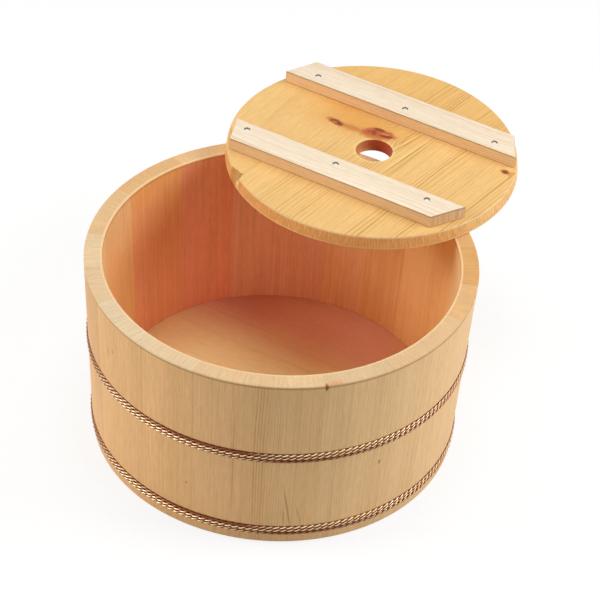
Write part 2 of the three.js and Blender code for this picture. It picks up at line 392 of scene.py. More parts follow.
# Ranges of noise over which wear, groups of rings and patches come in
WORN_RANGE = (0.2, 0.8)
GROUP_RANGE = (0.35, 0.65)
PATCH_RANGE = (0.3, 0.7)

# Tints of red and yellow wood, and the powers by which green and blue follow its tone
HEART_TINT = (1.0, 0.80, 1.85, 1.0)
HONEY_TINT = (0.94, 0.68, 0.40, 1.0)
GREEN_POWER = 1.15
BLUE_POWER = 1.4

# Sizes of the features of wood across and along the log
BEND_SIZE = mm(30, 30, 160)
FIBRE_SIZE = mm(0.7, 0.7, 30)
TONE_SIZE = mm(22, 22, 120)
GROUP_SIZE = mm(10, 10, 300)
FLECK_SIZE = mm(1.5, 1.5, 9)
ROUGH_SIZE = mm(4, 4, 4)

# Growth rings: how far slow noise bends them, how uneven the years are, and where latewood starts and ends
BEND_RINGS = 3.2
UNEVEN_RINGS = 3.0
UNEVEN_YEARS = (5.0, 1.0, 1.0)
LATE_START = (0.25, 0.85)
LATE_END = (0.9, 1.0)
FAINT_YEAR = 0.35
FAINT_GROUP = 0.3

# Share of each piece's fibres and flecks, its changes of tone, its roughness and the depth of its relief
FIBRE = 0.12
TONES = 0.06
FLECKS = 0.035
ROUGHNESS = (0.49, 0.63)
RELIEF = 0.06 * MM
FIBRE_RELIEF = 0.5
SPECULAR = 0.35


def wood(name, early, late, ring, contrast, wander=1.0, fibre=FIBRE, marks=(), washes=(), scratch=None):
    """Planed softwood: growth rings about the pith, fibres and flecks along it and slow changes of tone.

    Early and late are the display colours of its rings, and ring is their spacing.
    Scratch is the size of saw marks on the three axes of the log, and their strength.
    """
    shader = Shader(name)
    log = shader.attribute("grain")
    tone, heart, figure, honey = (shader.attribute(share, "Fac") for share in SHARES)

    # Growth rings, bent by slow noise along the log and by the knots
    split = shader.add("ShaderNodeSeparateXYZ", {"Vector": log})
    squares = [shader.math("POWER", split.outputs[axis], 2.0) for axis in ("X", "Y")]
    from_pith = shader.math("SQRT", shader.plus(*squares))
    slow = shader.noise(log, BEND_SIZE, detail=1.0)
    count = shader.plus(shader.math("DIVIDE", from_pith, ring), shader.times(slow, BEND_RINGS * wander))
    years = shader.add("ShaderNodeCombineXYZ", {"X": count}).outputs[0]
    uneven = shader.noise(years, UNEVEN_YEARS, detail=1.0)
    count = shader.plus(count, shader.times(uneven, UNEVEN_RINGS))
    for mark in marks:
        if mark.bend:
            count = shader.plus(count, shader.times(mark.halo(shader), mark.bend))
    phase = shader.math("FRACT", count)
    rise = shader.band(phase, *LATE_START)
    fall = shader.band(phase, *LATE_END, 1.0, 0.0)
    year = shader.add("ShaderNodeTexWhiteNoise", {"W": shader.math("FLOOR", count)}, noise_dimensions="1D")
    depth = shader.band(year.outputs["Value"], 0.0, 1.0, FAINT_YEAR, 1.0)
    latewood = shader.times(rise, fall, depth)

    # Fibres and slow changes of tone
    fine = shader.noise(log, FIBRE_SIZE, detail=3.0, roughness=0.65)
    broad = shader.noise(log, TONE_SIZE)
    groups = shader.band(shader.noise(log, GROUP_SIZE, detail=1.0), *GROUP_RANGE, FAINT_GROUP, 1.0)
    lines = shader.times(latewood, figure, contrast, groups)
    colour = shader.mix(lines, srgb(early), srgb(late))
    colour = shader.mix(heart, colour, HEART_TINT, "MULTIPLY")
    colour = shader.mix(honey, colour, HONEY_TINT, "MULTIPLY", clamp=False)
    swing = shader.times(shader.math("SUBTRACT", broad, 0.5), 2 * TONES)
    value = shader.plus(1.0 - fibre / 2, shader.times(fine, fibre), swing, tone)
    hatches = [(FLECK_SIZE, FLECKS)] + ([scratch] if scratch else [])
    for size, strength in hatches:
        hatch = shader.band(shader.noise(log, size), *PATCH_RANGE, -strength, strength)
        value = shader.plus(value, hatch)
    channels = {"X": value, "Y": shader.math("POWER", value, GREEN_POWER)}
    channels["Z"] = shader.math("POWER", value, BLUE_POWER)
    colour = shader.vector("MULTIPLY", colour, shader.add("ShaderNodeCombineXYZ", channels).outputs[0])
    # Washes tint the colour across a piece; the floor's washes are painted shade
    for wash in washes:
        colour = shader.mix(wash.mask(shader), colour, wash.tint, "MULTIPLY")
    for mark in marks:
        strength = shader.times(mark.mask(shader), mark.strength)
        colour = shader.mix(strength, colour, srgb(mark.colour))

    relief = shader.bump(shader.plus(shader.times(fine, FIBRE_RELIEF), latewood), RELIEF)
    return shader.finish(colour, fine, ROUGHNESS, {"Normal": relief, "Specular IOR Level": SPECULAR})


@dataclass
class Mark:
    """A knot, stain, speck, painted highlight or painted shade: an ellipsoid with a centre, half sizes and
    a turn.
    """

    centre: tuple
    half: tuple
    turn: float
    colour: str
    strength: float
    soft: float = 0.5
    ragged: float = 0.35
    bend: float = 0.0
    lean: float = 0.0

    # How far a knot bends the rings around it, in its own half sizes
    REACH = 2.5

    def distance(self, shader):
        inputs = {"Vector": shader.place(), "Location": self.centre, "Scale": self.half}
        inputs["Rotation"] = (self.lean, 0.0, self.turn)
        mapping = shader.add("ShaderNodeMapping", inputs, vector_type="TEXTURE")
        return shader.vector("LENGTH", mapping.outputs[0], output="Value")

    def mask(self, shader):
        rough = shader.noise(shader.place(), ROUGH_SIZE, detail=3.0)
        edge = shader.plus(self.distance(shader), shader.times(rough, 2 * self.ragged))
        return shader.band(edge, 1.0 + self.ragged - self.soft, 1.0 + self.ragged + self.soft, 1.0, 0.0)

    def halo(self, shader):
        return shader.band(self.distance(shader), 0.0, self.REACH, 1.0, 0.0)


@dataclass
class Line:
    """A level line round a piece, between two heights."""

    low: float
    high: float
    colour: str
    strength: float
    soft: float = 0.4 * MM

    bend = 0.0

    def measure(self, shader):
        return shader.add("ShaderNodeSeparateXYZ", {"Vector": shader.place()}).outputs["Z"]

    def mask(self, shader):
        value = self.measure(shader)
        above = shader.band(value, self.low - self.soft, self.low + self.soft)
        below = shader.band(value, self.high - self.soft, self.high + self.soft, 1.0, 0.0)
        return shader.times(above, below)


class WallLine(Line):
    """A line round the rim and the foot of the wall, between two depths from its inner face."""

    def measure(self, shader):
        away = shader.vector("SUBTRACT", shader.place(), (TUB_X, TUB_Y, 0.0))
        level = shader.vector("MULTIPLY", away, (1.0, 1.0, 0.0))
        reach = shader.vector("LENGTH", level, output="Value")
        lean = shader.times(super().measure(shader), -FLARE)
        return shader.plus(reach, lean, -inner_radius(0))


class Wash:
    """A tint that comes in between two places, in millimetres from a middle."""

    def __init__(self, middle, start, end, tint):
        self.start = Vector((*middle, 0)) + Vector(mm(*start, 0))
        self.along = Vector(mm(*end, 0)) - Vector(mm(*start, 0))
        self.tint = (*tint, 1.0)

    def mask(self, shader):
        away = shader.vector("SUBTRACT", shader.place(), self.start)
        direction = self.along / self.along.length_squared
        share = shader.vector("DOT_PRODUCT", away, direction, output="Value")
        return shader.band(share, 0.0, 1.0)


def wall_mark(degrees, height, half_width, half_height, *look, half_depth=4):
    """A mark on the outside of the wall, at an angle about the tub, in millimetres."""
    turn = math.radians(degrees)
    centre = at_tub(outer_radius(height * MM), turn, height * MM)
    return Mark(centre, mm(half_depth, half_width, half_height), turn, *look)


# Display colours of the marks
KNOT_BROWN = "7E3E1C"
KNOT_RED = "B65228"
KNOT_DARK = "8A3A1C"
KNOT_PALE = "D8905A"
STREAK = "CC7E3E"
AMBER = "E0983E"
DARK_LINE = "C4923E"
PALE_GRAIN_AND_HIGHLIGHT = "FFDE92"
SPECK = "8F6636"
RED_LINE = "C08A55"
RIM_SHADE_LINE = "A27645"
NOTCH_BROWN_AND_SHADE = "74481F"
SMEAR = "E29C62"
HOLE_RED = "B8452A"
HOLE_BROWN = "B4602C"
EDGE_HIGHLIGHT = "FFE2AC"
CHIP_FACE = "C98A44"
CHIP_DARK = "9A6430"
ARRIS_SHADE = "8E7650"
RIM_HIGHLIGHT = "FFDDAA"

NOTCH_ANGLE = -46.8
# The notch on the rim is painted, not cut: its dark brown is partly its wood and partly painted shade in
# the notch
RIM_NOTCH = wall_mark(NOTCH_ANGLE, TUB_HEIGHT / MM - 1.4, 1.2, 3.4, NOTCH_BROWN_AND_SHADE, 0.9, half_depth=2.4)
RIM_SMEAR = wall_mark(NOTCH_ANGLE + 2.4, TUB_HEIGHT / MM, 5.5, 2.0, SMEAR, 0.75, 0.7, half_depth=3.4)

# A painted shade line just below the rim on the inside of the wall
INNER_MARKS = (Line(TUB_HEIGHT - 2.7 * MM, TUB_HEIGHT - 0.9 * MM, RIM_SHADE_LINE, 0.3),)
# The pale line round the rim's inner arris is a painted highlight
RIM_MARKS = (WallLine(-MM, 1.7 * MM, RIM_HIGHLIGHT, 0.7), RIM_NOTCH, RIM_SMEAR)

# Angle, height, half sizes, colour, strength, softness, raggedness, bend and lean of each mark
WALL_SPECKS = (
    (-72.0, 87, 0.5, 64, RED_LINE, 0.5, 0.5, 0.2),
    (-118.4, 127, 0.6, 6, SPECK, 0.45),
    (-115.7, 131, 0.9, 1.0, SPECK, 0.7),
    (-86.4, 46, 0.9, 1.0, SPECK, 0.6),
    (-55.5, 38, 0.6, 20, SPECK, 0.55, 0.5, 0.2, 0.0, math.radians(9)),
    (-56.4, 27.5, 0.5, 9, SPECK, 0.45, 0.5, 0.2, 0.0, math.radians(3)),
    (-51.9, 29.5, 0.5, 11, SPECK, 0.35, 0.5, 0.2, 0.0, math.radians(14)),
    (-27.5, 69, 0.9, 1.9, SPECK, 0.75),
)
WALL_MARKS = (
    # A painted shade line just under the rim's outer edge
    Line(TUB_HEIGHT - 2.4 * MM, TUB_HEIGHT - 1.0 * MM, RIM_SHADE_LINE, 0.6),
    *(wall_mark(*row) for row in WALL_SPECKS),
    RIM_NOTCH,
)

MARK_DEPTH = 20


def board_mark(u, v, half_length, half_width, degrees, *look):
    """A mark through the board, in millimetres from its middle, turned from the way of the battens."""
    centre = (BOARD_X + u * MM, BOARD_Y + v * MM, board_high.z)
    return Mark(centre, mm(half_length, half_width, MARK_DEPTH), math.radians(degrees), *look)


# Place, half sizes, turn, colour, strength, softness, raggedness and bend of each mark
BOARD_MARKS = tuple(board_mark(*row) for row in (
    # A painted highlight on the eased edge round the finger hole
    (3, -2.4, 16.4, 16.4, 0, PALE_GRAIN_AND_HIGHLIGHT, 0.55, 0.08, 0.02),
    (-14, 24, 32, 11, 8, AMBER, 0.5, 0.9),
    (-40, 36, 26, 11, 0, AMBER, 0.45, 0.9),
    (-42, 19, 36, 17, 0, AMBER, 0.3, 0.9),
    (-26, 14.5, 13, 3.5, 3, STREAK, 0.85, 0.7, 0.35, 1.0),
    (-42.5, 14.5, 8.2, 3.4, -9, KNOT_RED, 0.85, 0.4, 0.35, 2.0),
    (-41.2, 14.0, 5.4, 2.4, -9, KNOT_BROWN, 0.95, 0.25),
    (-42.3, 13.4, 2.4, 1.1, -9, KNOT_PALE, 0.6, 0.5),
    (-5, 18.8, 13, 7.0, 12, KNOT_RED, 0.9, 0.35, 0.35, 2.5),
    (-5.5, 13.0, 10, 2.2, 12, STREAK, 0.8, 0.6),
    (-6.5, 24.6, 4.6, 1.8, 4, KNOT_BROWN, 0.9, 0.3),
    (-8.5, 18.5, 2.0, 3.4, 20, KNOT_DARK, 0.8, 0.4),
    (2.0, 19.2, 5.4, 1.7, 16, KNOT_DARK, 0.95, 0.35),
    (0.0, 21.6, 3.4, 1.1, 10, KNOT_PALE, 0.8, 0.5),
    (-11.5, 19.0, 2.6, 1.2, 30, KNOT_DARK, 0.6, 0.6),
    (102.7, 31.4, 3.6, 3.0, 0, KNOT_RED, 0.8, 0.3, 0.35, 1.5),
    (102.9, 31.4, 2.2, 1.8, 0, KNOT_BROWN, 0.9, 0.3),
    (18.6, 20.5, 16, 1.0, 78, PALE_GRAIN_AND_HIGHLIGHT, 0.5, 0.7, 0.2),
    (20.4, 20.0, 16, 0.7, 76, DARK_LINE, 0.8, 0.6, 0.2),
    (16.2, 24.3, 12, 0.6, 80, DARK_LINE, 0.7, 0.6, 0.2),
    (27.0, 5.3, 30, 1.0, 80.5, PALE_GRAIN_AND_HIGHLIGHT, 0.5, 0.7, 0.2),
    (28.9, 5.3, 30, 0.7, 80.5, DARK_LINE, 0.8, 0.6, 0.2),
    (32.0, 0.0, 27, 0.6, 82.5, DARK_LINE, 0.65, 0.6, 0.2),
))

BOARD_EDGE_MARKS = (
    # Painted highlights along the lower and the upper arris of the board's edge
    Line(BOARD_UNDERSIDE - MM, BOARD_UNDERSIDE + 1.6 * MM, EDGE_HIGHLIGHT, 0.5),
    Line(board_high.z - 1.4 * MM, board_high.z + MM, EDGE_HIGHLIGHT, 0.8),
    # The finger hole's wall is painted darker and redder: partly the red wood of the knot beside it, partly
    # painted shade inside the hole
    board_mark(3, -2.4, 17, 17, 0, HOLE_BROWN, 0.8, 0.2, 0.05),
    board_mark(8, 11, 16, 14, 0, HOLE_RED, 0.9, 0.5),
    board_mark(-72, -88, 8.5, 5, -20, CHIP_FACE, 0.85, 0.3),
    board_mark(-66.5, -90, 2.4, 2.6, 0, CHIP_DARK, 0.8, 0.5),
)
BATTEN_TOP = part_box("near_batten")[1].z
# Painted highlight along the foot of the battens' sides and ends, and painted shade along their top arris
BATTEN_LINES = (
    Line(board_high.z, board_high.z + 1.3 * MM, EDGE_HIGHLIGHT, 0.5),
    Line(BATTEN_TOP - 1.3 * MM, BATTEN_TOP + MM, ARRIS_SHADE, 0.6),
)

# Painted shade: the floor is golden towards the front and redder and browner towards the back and the
# right, where the board's shadow falls, and darker towards the wall on the left, where the wall's shade
# falls
FLOOR_SHADE_WASHES = (
    Wash(TUB_MIDDLE, (0, 34), (0, 94), (0.96, 0.70, 1.12)),
    Wash(TUB_MIDDLE, (10, 0), (90, 0), (0.86, 0.77, 0.5)),
    Wash(TUB_MIDDLE, (-65, 15), (-120, 45), (0.76, 0.58, 0.52)),
)

# The board is deeper in colour at its far side, and its edge browner on the left
BOARD_WASHES = (Wash(BOARD_MIDDLE, (0, 20), (0, 100), (0.98, 0.93, 0.82)),)
BOARD_EDGE_WASHES = (Wash(BOARD_MIDDLE, (80, -60), (-60, -90), (0.87, 0.79, 0.70)),)
BATTEN_WASHES = (Wash(BOARD_MIDDLE, (0, 0), (0, 40), (1.06, 1.09, 1.10)),)

ACROSS_RIM = mm(0.9, 20, 20)
DOWN_WALL = mm(2.0, 40, 90)
DOWN_EDGE = mm(1.4, 40, 1.4)
DOWN_END = mm(0.9, 40, 40)

stave_outside = wood(
    "stave_outside", "FACF94", "CC9D63", 1.8 * MM, 0.65, marks=WALL_MARKS, scratch=(DOWN_WALL, 0.035))
stave_inside = wood(
    "stave_inside", "F8C88A", "D8A060", 1.8 * MM, 0.5, marks=INNER_MARKS, scratch=(DOWN_WALL, 0.05))
stave_end = wood(
    "stave_end", "EBCFA6", "D5B483", 1.8 * MM, 0.4, fibre=0.08, marks=RIM_MARKS, scratch=(ACROSS_RIM, 0.06))
bottom_face = wood("bottom_face", "FFE3A6", "E4B474", 2.4 * MM, 0.3, washes=FLOOR_SHADE_WASHES)
board_face = wood(
    "board_face", "F1C57F", "C2843A", 3.0 * MM, 0.75, wander=1.3, marks=BOARD_MARKS, washes=BOARD_WASHES)
board_edge = wood(
    "board_edge", "FBC37A", "E09E54", 2.4 * MM, 0.4, marks=BOARD_EDGE_MARKS,
    washes=BOARD_EDGE_WASHES, scratch=(DOWN_EDGE, 0.13))
batten_face = wood("batten_face", "FCEAD0", "DFBC90", 1.3 * MM, 0.65, fibre=0.18)
batten_side = wood(
    "batten_side", "F8D09E", "D29A60", 1.3 * MM, 0.7, marks=BATTEN_LINES, washes=BATTEN_WASHES)
batten_end = wood(
    "batten_end", "F0C896", "D09E68", 1.3 * MM, 0.3, marks=BATTEN_LINES, scratch=(DOWN_END, 0.12))


# How far out on a wire its flank and its painted highlight begin, as shares of the ring's half thickness
FLANK_CREST = (0.15, 0.45)
HIGHLIGHT_CREST = (0.52, 0.66)
COPPER_ROUGHNESS = (0.26, 0.42)
COPPER_METALLIC = 0.75


def copper():
    """Twisted wire, with painted highlights where a strand stands out, painted shade where the lamps miss a
    ring, and darker copper in between, partly oxide and partly painted shade.
    """
    shader = Shader("copper_wire")
    crest = shader.attribute("crest", "Fac")
    crest_shade = shader.attribute("crest_shade", "Fac")
    worn = shader.noise(shader.place(), ROUGH_SIZE, detail=3.0)
    patches = shader.band(worn, *PATCH_RANGE)
    hollow = shader.mix(patches, srgb("6C2C12"), srgb("904A1C"))
    highlight = shader.mix(patches, srgb("FFDEAA"), srgb("FFEBC4"))
    # Painted shade dims the highlight and the flank on the rings and at the angles that the lamps miss
    highlight = shader.mix(crest_shade, highlight, srgb("8A4A2A"))
    flank = shader.mix(crest_shade, srgb("B86E3C"), srgb("82421F"))
    colour = shader.mix(shader.band(crest, *FLANK_CREST), hollow, flank)
    colour = shader.mix(shader.band(crest, *HIGHLIGHT_CREST), colour, highlight)
    return shader.finish(colour, worn, COPPER_ROUGHNESS, {"Metallic": COPPER_METALLIC})


def plain(name, size, first, second, roughness, metallic=0.0):
    """A surface with patches of two display colours, of a size on each axis."""
    shader = Shader(name)
    worn = shader.noise(shader.place(), size, detail=3.0)
    colour = shader.mix(worn, srgb(first), srgb(second))
    return shader.finish(colour, worn, roughness, {"Metallic": metallic})


STEEL_SIZE = mm(1.2, 1.2, 1.2)
STRAND_SIZE = mm(0.4, 6, 0.4)
STAIN_SIZE = mm(1.5, 1.5, 1.5)

copper_wire = copper()
nail_steel = plain("nail_steel", STEEL_SIZE, "D2CEC6", "F4F2EC", (0.3, 0.5), metallic=1.0)
peg_bamboo = plain("bamboo", STRAND_SIZE, "C9AE70", "E6D6A2", (0.45, 0.6))
# The wood in the dish round each nail is darker: partly bruised, partly painted shade in the dish
bruise_and_shade_wood = plain("nail_hole", STAIN_SIZE, "86684A", "AE8E68", (0.6, 0.75))

# Staves

OUTSIDE, INSIDE, END = 0, 1, 2
UPRIGHT = 0.6


def by_stave(own, usual=0.0):
    """A number for each stave: its own, given by the stave's number, or else the usual one."""
    return {name: own.get(int(name[-2:]), usual) for name in STAVES}


# Redness of the staves inside, and the shares of it that show at the rim and outside
HEARTWOOD = by_stave({
    8: 0.1, 9: 0.15, 12: 0.6, 13: 0.85, 14: 0.65, 15: 0.65, 16: 0.3, 17: 0.1, 18: 0.0, 19: 0.0, 20: 0.0,
}, 0.05)
RIM_HEART = 0.05
OUTER_HEART = 0.2

# Yellowness and tone of the rim, the outside and the inside, where they differ from the usual
HONEY_RIM = by_stave({
    1: 0.75, 2: 0.45, 3: 0.4, 4: 0.23, 5: 0.32, 6: 0.35, 7: 0.1, 8: -0.1, 9: 0.2, 10: 0.15, 12: 0.72,
    13: 0.62, 19: 0.8, 20: 1.0,
}, 0.5)
# Stave 19's darker rim, beside where the board rests on the rim, is painted shade from the board
TONE_RIM = by_stave({
    2: -0.03, 3: -0.03, 4: -0.05, 6: -0.03, 8: -0.06, 9: -0.04, 13: 0.08, 19: -0.05, 20: -0.09,
})
HONEY_WALL = by_stave({4: 0.05, 5: 0.2, 6: 0.3, 7: 0.4, 8: 0.4, 9: 0.4, 10: 0.2})
TONE_OUTSIDE = by_stave({5: -0.03, 6: -0.03, 7: -0.03, 8: -0.03, 9: -0.03})
HONEY_INSIDE = by_stave({
    10: 0.2, 11: 0.25, 12: 0.65, 13: 0.65, 14: 0.1, 15: 0.1, 16: 0.1, 17: 0.27, 18: 0.07, 19: 0.25,
})
TONE_INSIDE = by_stave({12: 0.08, 13: 0.1, 14: -0.02, 16: 0.05, 17: 0.02, 18: 0.08, 19: 0.04, 20: 0.03})

# Changes of tone and yellowness on the upper wall, and of yellowness and redness near the rim. The changes
# of tone are painted shade, on the upper outer wall at the left and inside where the board's shadow falls,
# and painted light inside on staves 18 and 19
WALL_TOP = TUB_HEIGHT - 2 * RIM_EASE
UPPER_START = 60 * MM
UPPER_FULL = 105 * MM
UPPER_OUTSIDE_SHADE = by_stave({8: -0.08, 9: -0.17, 10: -0.18, 11: -0.1})
UPPER_INSIDE_SHADE_AND_LIGHT = by_stave({11: -0.03, 12: -0.07, 13: -0.06, 18: 0.06, 19: 0.04, 20: -0.05})
UPPER_HONEY = by_stave({11: 0.15, 12: 0.22, 13: 0.1, 18: -0.2, 19: -0.1, 20: -0.3})
TOP_HONEY = by_stave({10: -0.4, 11: -0.5, 12: -0.2, 13: 0.1, 19: -0.3})
TOP_FADE = by_stave({12: 1.0, 13: 0.2})

# Strength of the rings by the angle about the tub in degrees: they show most at the front
FIGURE_ANGLES = (-180, -140, -85, -68, -65, -55, -50, -20, 180)
FIGURE_SHARES = (0.5, 0.35, 0.4, 0.5, 1.0, 1.0, 0.6, 0.4, 0.5)

# Ranges of the random draws: the pith's distance and lean, where a piece starts in its log, and its tone
PITH_REACH = mm(70, 130)
PITH_LEAN = (-0.7, 0.7)
LOG_START = (0, 9)
OWN_TONE = (-0.03, 0.03)


def hoop_seat(rings):
    """Corners of the seat behind a hoop in the outer face, from below."""
    boxes = [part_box(name) for name in rings]
    lower = min(low.z for low, high in boxes) - SEAT_GAP
    upper = max(high.z for low, high in boxes) + SEAT_GAP
    inner, _, height = about_tub(node_points(rings[0]))
    depth = outer_radius(height[inner.argmin()]) - inner.min() + SEAT_GAP
    return [
        (outer_radius(lower), lower, SEAT_EASE),
        (outer_radius(lower) - depth, lower, 0),
        (outer_radius(upper) - depth, upper, 0),
        (outer_radius(upper), upper, SEAT_EASE),
    ]


def stave_outline():
    """Section of the wall in radius and height, anticlockwise from the inner side of the foot."""
    roof = FLOOR_TOP + GROOVE_GAP
    sill = FLOOR_UNDERSIDE - GROOVE_GAP
    groove = BOTTOM_RADIUS + GROOVE_GAP
    return rounded([
        (inner_radius(0), 0, FOOT_EASE),
        (outer_radius(0), 0, FOOT_EASE),
        *hoop_seat(LOWER_RINGS),
        *hoop_seat(UPPER_RINGS),
        (outer_radius(WALL_TOP), WALL_TOP, 0),
        (outer_radius(TUB_HEIGHT), TUB_HEIGHT, RIM_EASE),
        (inner_radius(TUB_HEIGHT), TUB_HEIGHT, RIM_EASE),
        (inner_radius(WALL_TOP), WALL_TOP, 0),
        (inner_radius(UPPER_FULL), UPPER_FULL, 0),
        (inner_radius(UPPER_START), UPPER_START, 0),
        (inner_radius(roof), roof, 0),
        (groove, WEDGE_TOP + GROOVE_GAP, 0),
        (groove, sill, 0),
        (inner_radius(sill), sill, 0),
    ])


def turn_from(middle, angles):
    """Angles from a middle one, within half a turn either way."""
    return (angles - middle + math.pi) % TAU - math.pi


def ramp(values, start, end):
    return np.clip((values - start) / (end - start), 0, 1)


def over_wall(inside, outside, rim, outward, level_end):
    """A share that changes from the inside of the wall to its outside and its rim."""
    wall = inside + (outside - inside) * outward
    return wall + (rim - wall) * level_end


def stave(name, rng):
    angle = about_tub(node_points(name))[1]
    middle = math.atan2(np.sin(angle).mean(), np.cos(angle).mean())
    turn = turn_from(middle, angle)
    close = JOINT_CLOSE / SHOULDER_RADIUS
    first = turn.min() - close
    last = turn.max() + close
    ease = JOINT_EASE / SHOULDER_RADIUS
    steps = math.ceil((last - first) / STAVE_STEP)
    turns = np.concatenate([[first], np.linspace(first + ease, last - ease, steps + 1), [last]])

    outline = stave_outline()
    drawn_in = outline - outline_normals(outline) * JOINT_EASE
    vertices = []
    for index, turned in enumerate(turns):
        section = drawn_in if index in (0, len(turns) - 1) else outline
        vertices.extend(at_tub(reach, middle + turned, z) for reach, z in section)
    count = len(outline)
    faces = ring_faces(len(turns), count)
    sides = len(faces)
    faces.append(tuple(range(count)))
    faces.append(tuple(range((len(turns) - 1) * count, len(turns) * count))[::-1])
    piece = new_object(name + "_wood", vertices, faces)

    zones = np.zeros(len(faces), np.int32)
    following = np.roll(outline, -1, axis=0)
    centre = (outline + following) / 2
    level = np.abs(unit(following - outline)[:, 0]) > UPRIGHT
    at_end = (centre[:, 1] < EDGE_BAND) | (centre[:, 1] > TUB_HEIGHT - EDGE_BAND)
    outward = centre[:, 0] > (inner_radius(centre[:, 1]) + outer_radius(centre[:, 1])) / 2
    zone = np.where(level & at_end, END, np.where(outward, OUTSIDE, INSIDE))
    zones[:sides] = np.tile(zone, len(turns) - 1)
    piece.data.polygons.foreach_set("material_index", zones)

    reach, theta, z = about_tub(positions(piece))
    across = turn_from(middle, theta) * SHOULDER_RADIUS
    depth = reach - outer_radius(z)
    lean = rng.uniform(*PITH_LEAN)
    pith = rng.uniform(*PITH_REACH)
    side = rng.choice((-1, 1))
    start = rng.uniform(*LOG_START)
    grain = in_log(across, depth, z, side * pith * math.cos(lean), pith * math.sin(lean), start)
    figure = np.interp(np.degrees(theta), FIGURE_ANGLES, FIGURE_SHARES)
    level_end = ramp(z, WALL_TOP, WALL_TOP + RIM_EASE)
    outward = ramp(reach, inner_radius(z), outer_radius(z))
    upper = ramp(z, UPPER_START, UPPER_FULL)
    top = ramp(z, UPPER_FULL, WALL_TOP)
    heart = HEARTWOOD[name] * (1 - TOP_FADE[name] * top)
    heart = heart * (1 - (1 - RIM_HEART) * level_end) * (1 - (1 - OUTER_HEART) * outward)
    # The upper tones paint shade and light on the wall
    tone_inside = TONE_INSIDE[name] + UPPER_INSIDE_SHADE_AND_LIGHT[name] * upper
    tone_outside = TONE_OUTSIDE[name] + UPPER_OUTSIDE_SHADE[name] * upper
    tone = over_wall(tone_inside, tone_outside, TONE_RIM[name], outward, level_end)
    honey_inside = HONEY_INSIDE[name] + UPPER_HONEY[name] * upper + TOP_HONEY[name] * top
    honey = over_wall(honey_inside, HONEY_WALL[name], HONEY_RIM[name], outward, level_end)
    set_grain(piece, grain, tone + rng.uniform(*OWN_TONE), heart, figure, honey)
    finish_piece(piece, "tub", name, (stave_outside, stave_inside, stave_end))


# Planks: pieces of a round board between two seams, with eased edges


def edge_levels(height, ease, steps=3):
    """Inset and height of each ring of points up a side with eased edges."""
    lower = [(ease * (1 - math.sin(turn)), ease * (1 - math.cos(turn))) for turn in quarter_turn(steps)]
    upper = [(inset, height - z) for inset, z in reversed(lower)]
    return lower + upper


def plank_loop(radius, low, high):
    """Outline of a round board between two seams along the second axis, anticlockwise."""
    start = math.acos(max(-1.0, min(1.0, high / radius)))
    stop = math.acos(max(-1.0, min(1.0, low / radius)))
    upper = np.linspace(start, stop, ARC_STEPS + 1)
    lower = -upper[::-1]
    if low <= -radius:
        lower = lower[1:]
    if high >= radius:
        lower = lower[:-1]
    angles = np.concatenate([upper, lower])
    return np.stack([radius * np.cos(angles), radius * np.sin(angles)], axis=1)


def seams(low, high, radius, inset=0.0):
    """Both sides of a plank: its seam, or infinity where it reaches the round edge."""
    left = low + inset if low > -radius + MM else -math.inf
    right = high - inset if high < radius - MM else math.inf
    return left, right


def circle_loop(x, y, radius, steps):
    angles = np.linspace(0, TAU, steps, endpoint=False)
    return np.stack([x + radius * np.cos(angles), y + radius * np.sin(angles)], axis=1)


class Prism:
    """A flat piece built from stacked outlines, with round holes through it or into it."""

    def __init__(self, loops):
        self.vertices = []
        self.faces = []
        self.top = []
        self.bottom = []
        self.through(loops)

    def wall(self, loops):
        """Adds a skin of (outline, height) rings, and gives its first and last as vertex numbers."""
        base = len(self.vertices)
        count = len(loops[0][0])
        for outline, z in loops:
            self.vertices.extend((x, y, z) for x, y in outline)
        self.faces.extend(ring_faces(len(loops), count, base=base))
        last = base + (len(loops) - 1) * count
        return list(range(base, base + count)), list(range(last, last + count))

    def through(self, loops):
        """Adds the outside of the piece, or a hole right through it."""
        bottom, top = self.wall(loops)
        self.bottom.append(bottom)
        self.top.append(top)

    def dish(self, loops):
        """Adds a blind hole, from its floor up to the top face."""
        floor, mouth = self.wall(loops)
        self.faces.append(tuple(floor))
        self.top.append(mouth)

    def build(self, name):
        piece = new_object(name, self.vertices, self.faces)
        close_caps(piece, [self.bottom, self.top])
        return piece


TOP_FACE, SIDE_FACE, END_FACE, NAIL_FACE = 0, 1, 2, 3


def zone_by_facing(piece, ends=None):
    """Gives level faces one material, upright ones another, and ends across x a third."""
    normals = np.abs([face.normal for face in piece.data.polygons])
    zones = np.where(normals[:, 2] > UPRIGHT, TOP_FACE, SIDE_FACE).astype(np.int32)
    if ends is not None:
        zones[normals[:, 0] > UPRIGHT] = ends
    piece.data.polygons.foreach_set("material_index", zones)


CHIP_START = mm(-79.5, -84.0)
CHIP_END = mm(-65.0, -89.0)
CHIP_FLOOR = 0.3
CHIP_RAGGED = 0.35 * MM
CHIP_TEETH = 0.6 * MM
CHIP_WAVES = 1.7 * MM
CHIP_TWIST = 4

# Shares of the board's thickness at which its edge has rows of points for the chip
CHIP_ROWS = (0.3, 0.5, 0.7, 0.85)


def chipped(outline, rise):
    """Draws the outline in to the chip on the front left edge; rise goes from 0 below to 1 above."""
    share = max(0.0, (rise - CHIP_FLOOR) / (1 - CHIP_FLOOR))
    slope = (CHIP_END[1] - CHIP_START[1]) / (CHIP_END[0] - CHIP_START[0])
    x, y = outline.T
    line = CHIP_START[1] + slope * (x - CHIP_START[0])
    jag = CHIP_RAGGED * np.sin(x / CHIP_TEETH) * np.sin(x / CHIP_WAVES + CHIP_TWIST * rise)
    drawn_in = np.maximum(y, y + (line + jag - y) * share)
    at_chip = (x >= CHIP_START[0]) & (x <= CHIP_END[0]) & (y <= 0)
    return np.stack([x, np.where(at_chip, drawn_in, y)], axis=1)


